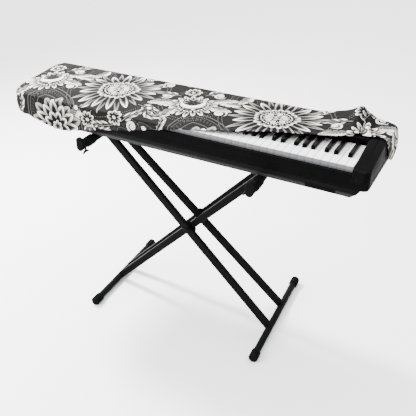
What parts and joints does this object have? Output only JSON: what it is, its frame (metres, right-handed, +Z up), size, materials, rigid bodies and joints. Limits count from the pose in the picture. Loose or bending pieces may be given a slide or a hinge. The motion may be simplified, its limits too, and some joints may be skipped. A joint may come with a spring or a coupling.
{
  "type": "piano keyboard cover on a digital piano and folding cross stand",
  "caption": "Stretchy fitted cloth cover, half drawn off a plain digital piano, with its front hem running back across the keys, on a folding cross stand.",
  "frame": {"origin": "on the floor, under the middle of the whole thing's bounding box", "axes": "+X along the keyboard to the player's right, +Y away from the player, +Z up"},
  "size_m": [1.3377, 0.5182, 0.8567],
  "materials": {
    "cover_cloth": "thin printed stretch cloth, matt",
    "case_plastic": "fine satin, black",
    "white_keys": "polished, white",
    "black_keys": "satin, black",
    "stand_steel": "satin powder coat, black",
    "stand_rubber": "matt, black"
  },
  "bodies": {
    "root": {"black_keys_1": "black_keys", "black_keys_2": "black_keys", "black_keys_3": "black_keys", "black_keys_4": "black_keys", "black_keys_5": "black_keys", "black_keys_6": "black_keys", "black_keys_7": "black_keys", "cover": "cover_cloth", "foot_bar_left": "stand_steel", "foot_bar_right": "stand_steel", "foot_cap_left_back": "stand_rubber", "foot_cap_left_front": "stand_rubber", "foot_cap_right_back": "stand_rubber", "foot_cap_right_front": "stand_rubber", "front_rail": "case_plastic", "inner_brace_back": "stand_steel", "inner_brace_front": "stand_steel", "left_end": "case_plastic", "lower_case": "case_plastic", "outer_brace_back": "stand_steel", "outer_brace_front": "stand_steel", "panel": "case_plastic", "pivot_bolt_head": "stand_steel", "pivot_disc_back": "stand_steel", "pivot_disc_front": "stand_steel", "pivot_nut": "stand_steel", "pivot_spacer": "stand_steel", "right_end": "case_plastic", "sleeve_left": "stand_rubber", "sleeve_plug_left": "stand_rubber", "sleeve_plug_right": "stand_rubber", "sleeve_right": "stand_rubber", "sleeve_stop_left": "stand_rubber", "sleeve_stop_right": "stand_rubber", "tray": "case_plastic", "white_keys_1": "white_keys", "white_keys_2": "white_keys", "white_keys_3": "white_keys", "white_keys_4": "white_keys", "white_keys_5": "white_keys", "white_keys_6": "white_keys", "white_keys_7": "white_keys", "wing_screw_left": "stand_steel", "wing_screw_right": "stand_steel"}
  },
  "joints": []
}
